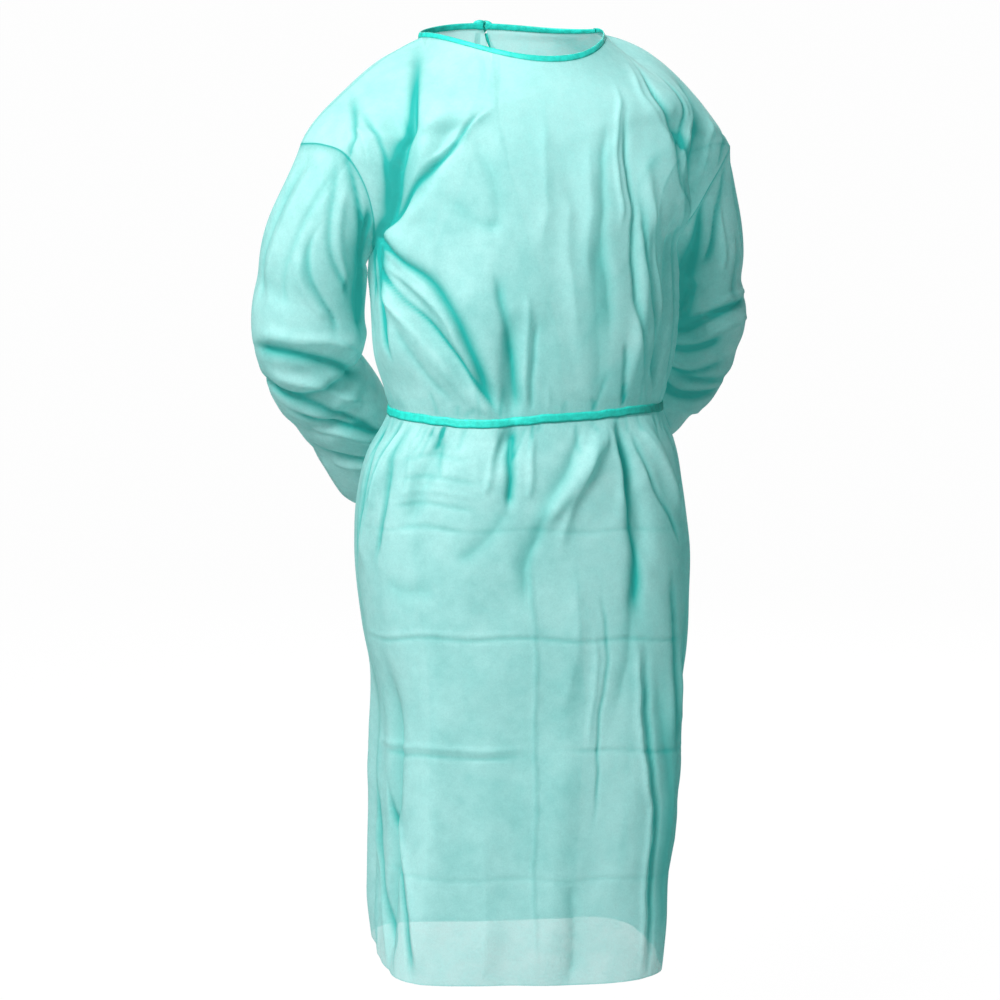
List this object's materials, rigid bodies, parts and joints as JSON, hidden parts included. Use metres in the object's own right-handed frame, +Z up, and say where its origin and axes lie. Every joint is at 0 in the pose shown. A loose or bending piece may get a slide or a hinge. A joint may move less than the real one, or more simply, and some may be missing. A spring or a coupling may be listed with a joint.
{
  "type": "isolation gown",
  "caption": "Thin protective gown in its worn shape: long skirt, tied waist tape, bound round neck, lapped back and long sleeves held behind.",
  "frame": {"origin": "centre of the neck ring, level with the tops of the shoulders, where the wearer holds the gown up", "axes": "+Z up, -Y the way the front faces, +X towards the wearer's left sleeve"},
  "size_m": [0.6334, 0.4114, 1.1329],
  "materials": {
    "gown_cloth": "thin see-through nonwoven, soft and slightly cloudy",
    "gown_tape": "narrow folded nonwoven tape, matt"
  },
  "bodies": {
    "root": {"front": "gown_cloth", "back_left": "gown_cloth", "back_right": "gown_cloth", "sleeve_left": "gown_cloth", "sleeve_right": "gown_cloth", "cuff_left": "gown_cloth", "cuff_right": "gown_cloth", "neck_binding": "gown_tape", "neck_knot": "gown_tape", "neck_tail_left": "gown_tape", "neck_tail_right": "gown_tape", "belt": "gown_tape", "belt_knot": "gown_tape", "belt_tail_left": "gown_tape", "belt_tail_right": "gown_tape"}
  },
  "joints": []
}
